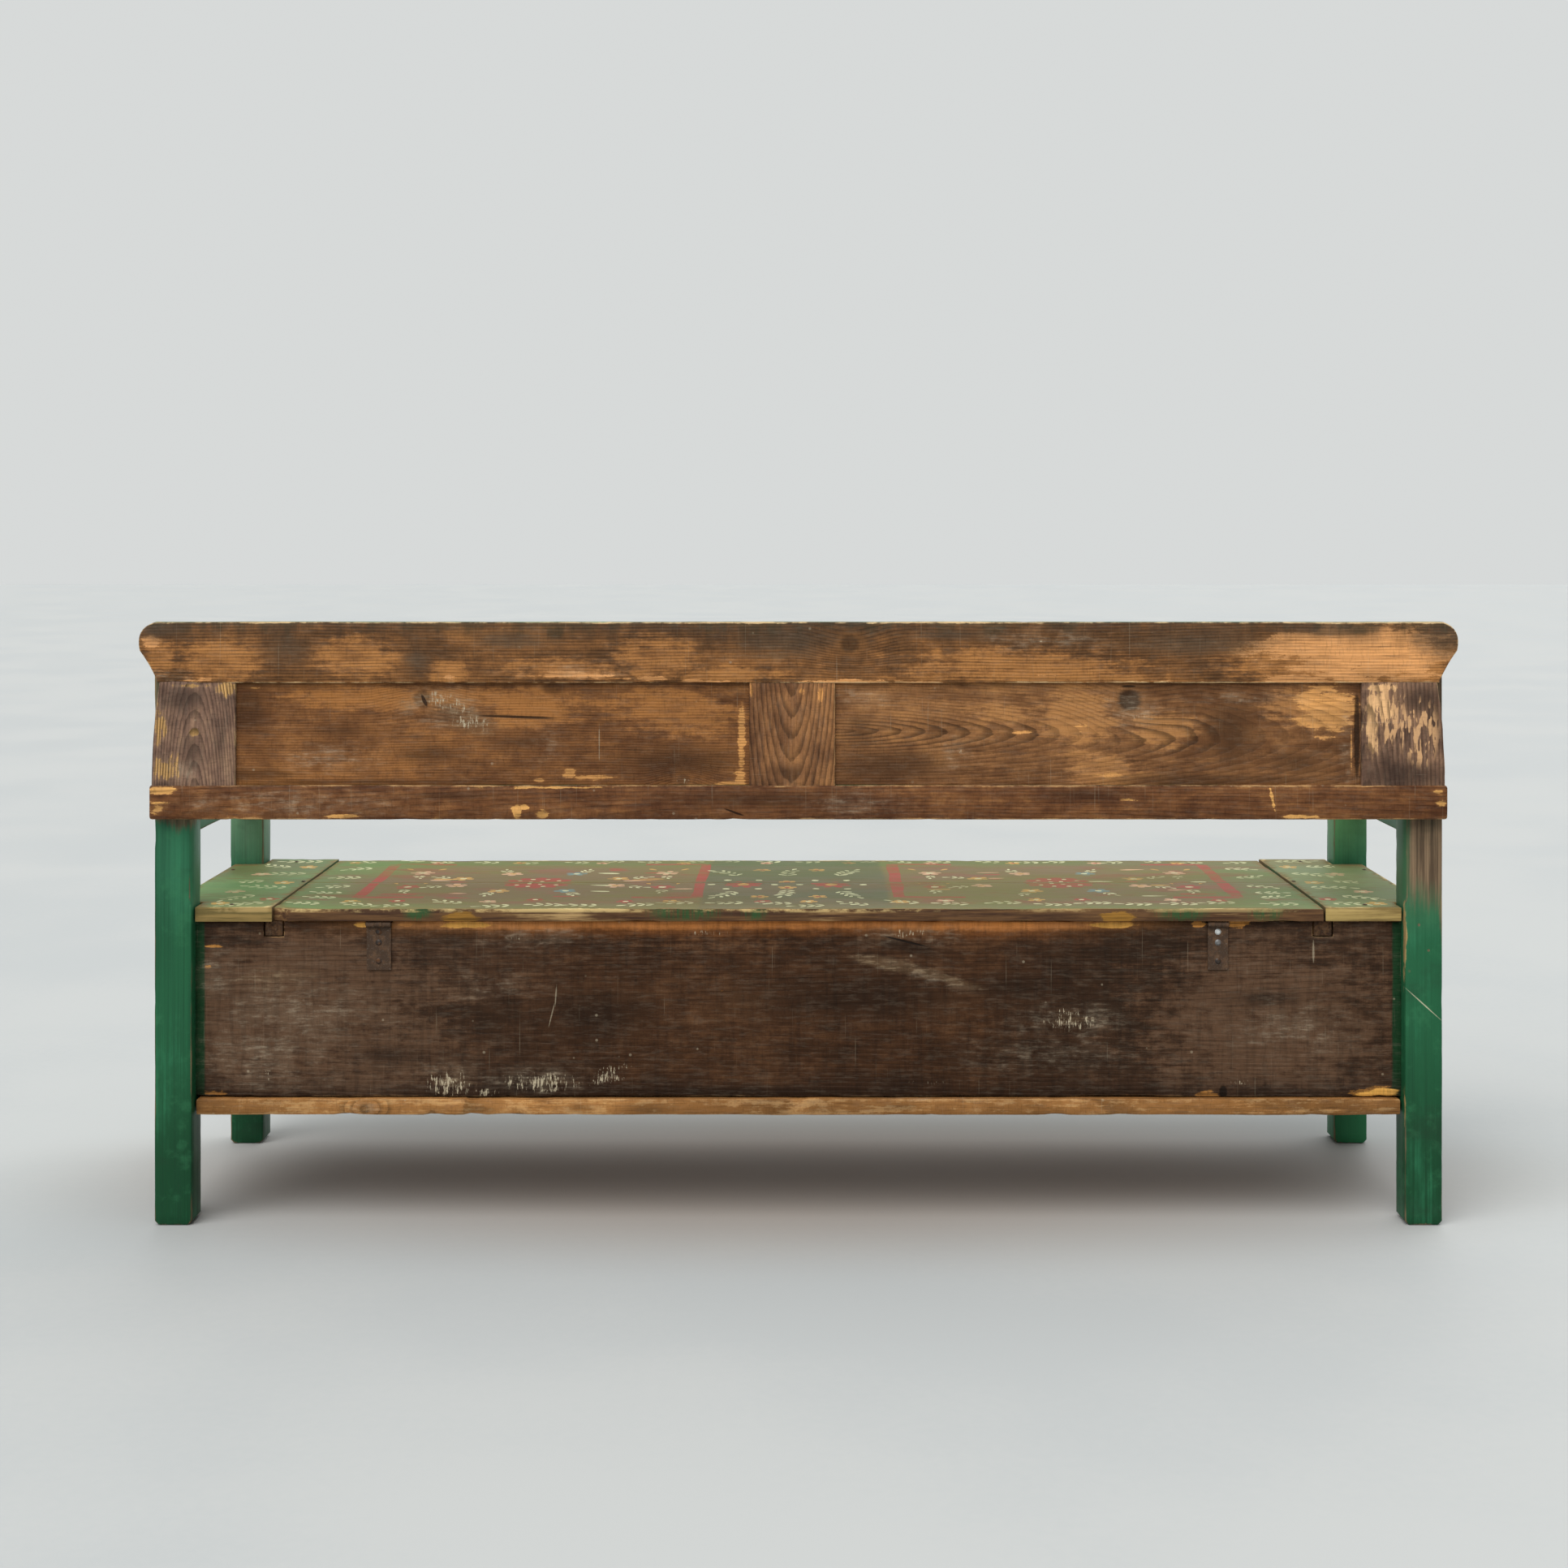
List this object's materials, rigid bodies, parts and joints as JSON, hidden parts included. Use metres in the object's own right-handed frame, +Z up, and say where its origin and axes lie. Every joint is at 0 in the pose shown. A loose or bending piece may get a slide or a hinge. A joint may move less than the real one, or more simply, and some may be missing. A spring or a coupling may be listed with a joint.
{
  "type": "chest bench",
  "caption": "Long wooden bench with a panelled back and low arms between square posts; the seat is a hinged lid that lifts over a storage chest.",
  "frame": {"origin": "on the floor, under the middle of the bounding box", "axes": "+X along the length to the sitter's left, +Y to the plain back of the bench, +Z up"},
  "size_m": [1.9354, 0.557, 0.891],
  "materials": {
    "green_paint": "worn satin paint over wood",
    "painted_seat": "worn paint with traditional flower sprigs",
    "panel_wood": "old brown stain",
    "brown_wood": "old brown stain, rubbed",
    "dark_wood": "very dark stain, scuffed",
    "bare_wood": "unpainted softwood",
    "peg_wood": "unpainted hardwood",
    "old_iron": "forged, dark and lightly rusted"
  },
  "bodies": {
    "bench": {"back_post_left": "green_paint", "back_post_right": "green_paint", "front_post_left": "green_paint", "front_post_right": "green_paint", "arm_left": "green_paint", "arm_right": "green_paint", "back_board": "dark_wood", "front_board": "green_paint", "side_board_left": "green_paint", "side_board_right": "green_paint", "bottom_board_rear": "bare_wood", "bottom_board_front": "bare_wood", "seat_end_left": "painted_seat", "seat_end_right": "painted_seat", "lid_bearer_left": "bare_wood", "lid_bearer_right": "bare_wood", "backrest_top_rail": "brown_wood", "backrest_bottom_rail": "brown_wood", "backrest_stile_left": "brown_wood", "backrest_stile_right": "brown_wood", "backrest_stile_middle": "brown_wood", "backrest_panel_left": "panel_wood", "backrest_panel_right": "panel_wood", "hinge_strap_left": "old_iron", "hinge_strap_right": "old_iron", "hinge_pin_left": "old_iron", "hinge_pin_right": "old_iron", "hinge_strap_screws": "old_iron", "seat_nails": "old_iron", "bottom_nails": "old_iron", "backrest_pegs": "peg_wood", "post_dowels": "peg_wood", "arm_pegs": "peg_wood"},
    "lid": {"lid_board_rear": "painted_seat", "lid_board_front": "painted_seat", "lid_batten_left": "bare_wood", "lid_batten_right": "bare_wood", "hinge_leaf_left": "old_iron", "hinge_leaf_right": "old_iron", "hinge_leaf_nails": "old_iron", "batten_nails": "old_iron"}
  },
  "joints": [
    {"name": "lid_hinge", "type": "hinge", "parent": "bench", "child": "lid", "pos_m": [0, 0.2364, 0.4414], "axis": [-1, 0, 0], "range_deg": [0, 87]}
  ]
}
